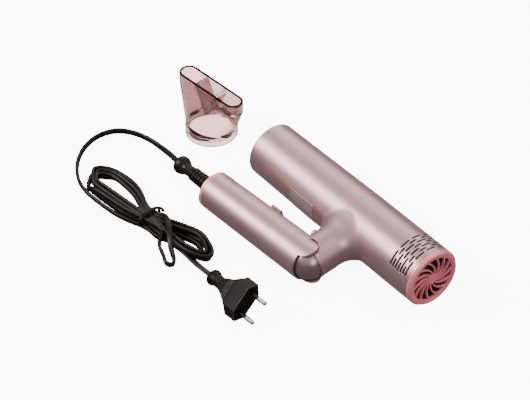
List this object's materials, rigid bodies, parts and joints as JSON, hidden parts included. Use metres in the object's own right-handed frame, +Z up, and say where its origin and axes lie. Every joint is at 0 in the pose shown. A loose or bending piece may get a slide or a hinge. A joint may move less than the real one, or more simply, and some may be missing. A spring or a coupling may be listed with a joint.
{
  "type": "travel hair dryer",
  "caption": "Folding hair dryer: cylindrical air barrel on a short neck with a hinged tube handle, bundled mains cord with a two-pin plug, and a lift-off concentrator nozzle.",
  "frame": {"origin": "on the surface that the dryer lies on, under the middle of the box of dryer and nozzle without the cord", "axes": "+Z up, +Y along the barrel's axis towards the air outlet, the folded handle lies at -X"},
  "size_m": [0.1665, 0.3343, 0.051],
  "materials": {
    "satin_rose": "satin metallic mauve-rose paint",
    "rose_trim": "rose-gold coral metallic trim",
    "switch_rose": "satin rose",
    "label": "blank printed film",
    "filter": "fine dark mesh",
    "black_plastic": "moulded matt black",
    "motor_metal": "turned can",
    "steel": "bright steel",
    "fan_plastic": "moulded nylon",
    "mica": "mica sheet",
    "heating_wire": "oxidised resistance wire",
    "brass": "plain",
    "knuckle_plastic": "grey-mauve moulded gloss",
    "washer_plastic": "low-friction plastic",
    "board": "circuit board",
    "cord_rubber": "matt black-brown",
    "tie": "coated wire tie",
    "plug_plastic": "moulded matt black",
    "sleeve_plastic": "insulating sleeve",
    "nickel": "nickel plated",
    "smoky_clear": "smoky pink, see-through"
  },
  "bodies": {
    "root": {"rear_body": "satin_rose", "front_tube": "satin_rose", "seam_ring": "rose_trim", "barrel_screws": "steel", "label_plate": "label", "motor_shroud": "black_plastic", "motor": "motor_metal", "heater_sleeve": "mica", "heater_frame": "mica", "heater_coils": "heating_wire", "thermal_cutout": "brass", "ion_module": "black_plastic", "outlet_grille": "black_plastic", "button_spring": "steel", "cool_shot_switch": "black_plastic", "hinge_knuckle": "knuckle_plastic", "knuckle_screws": "steel", "hinge_washers": "washer_plastic", "hinge_pin": "steel"},
    "intake_cap": {"intake_ring": "rose_trim", "intake_grille": "rose_trim", "filter_mesh": "filter"},
    "fan": {"fan_impeller": "fan_plastic"},
    "cool_shot": {"cool_shot_button": "rose_trim"},
    "handle": {"handle_tube": "satin_rose", "hinge_cap": "satin_rose", "slide_switch": "black_plastic", "control_board": "board", "handle_screws": "steel", "end_ring": "rose_trim", "end_cap": "black_plastic", "cord_clamp": "black_plastic", "strain_relief": "cord_rubber", "power_cord": "cord_rubber", "cord_hank": "cord_rubber", "cord_tie": "tie", "plug_tail": "cord_rubber", "plug_body": "plug_plastic", "plug_pins": "nickel", "plug_sleeves": "sleeve_plastic"},
    "slider": {"switch_slider": "switch_rose"},
    "nozzle": {"nozzle_shell": "smoky_clear", "nozzle_divider": "smoky_clear"}
  },
  "joints": [
    {"name": "handle_fold", "type": "hinge", "parent": "root", "child": "handle", "pos_m": [-0.03087, -0.07295, 0.01755], "axis": [-0.1354, 0, 0.9908], "range_deg": [-2.7, 87.3]},
    {"name": "switch_slide", "type": "slide", "parent": "handle", "child": "slider", "axis": [0.0467, -0.9989, 0.0064], "range_m": [0, 0.005]},
    {"name": "cool_shot_press", "type": "slide", "parent": "root", "child": "cool_shot", "axis": [0, -1, 0], "range_m": [0, 0.0012], "stiffness_N_per_m": 900, "springref_m": -0.0005, "deforming": ["button_spring"]},
    {"name": "fan_spin", "type": "hinge", "parent": "root", "child": "fan", "pos_m": [0.02728, -0.13795, 0.0255], "axis": [0, 1, 0], "continuous": true},
    {"name": "intake_cap_pull", "type": "slide", "parent": "root", "child": "intake_cap", "axis": [0, -1, 0], "range_m": [0, 0.03]},
    {"name": "nozzle_lift", "type": "slide", "parent": "root", "child": "nozzle", "axis": [0, 0, 1], "range_m": [0, 0.12]}
  ]
}
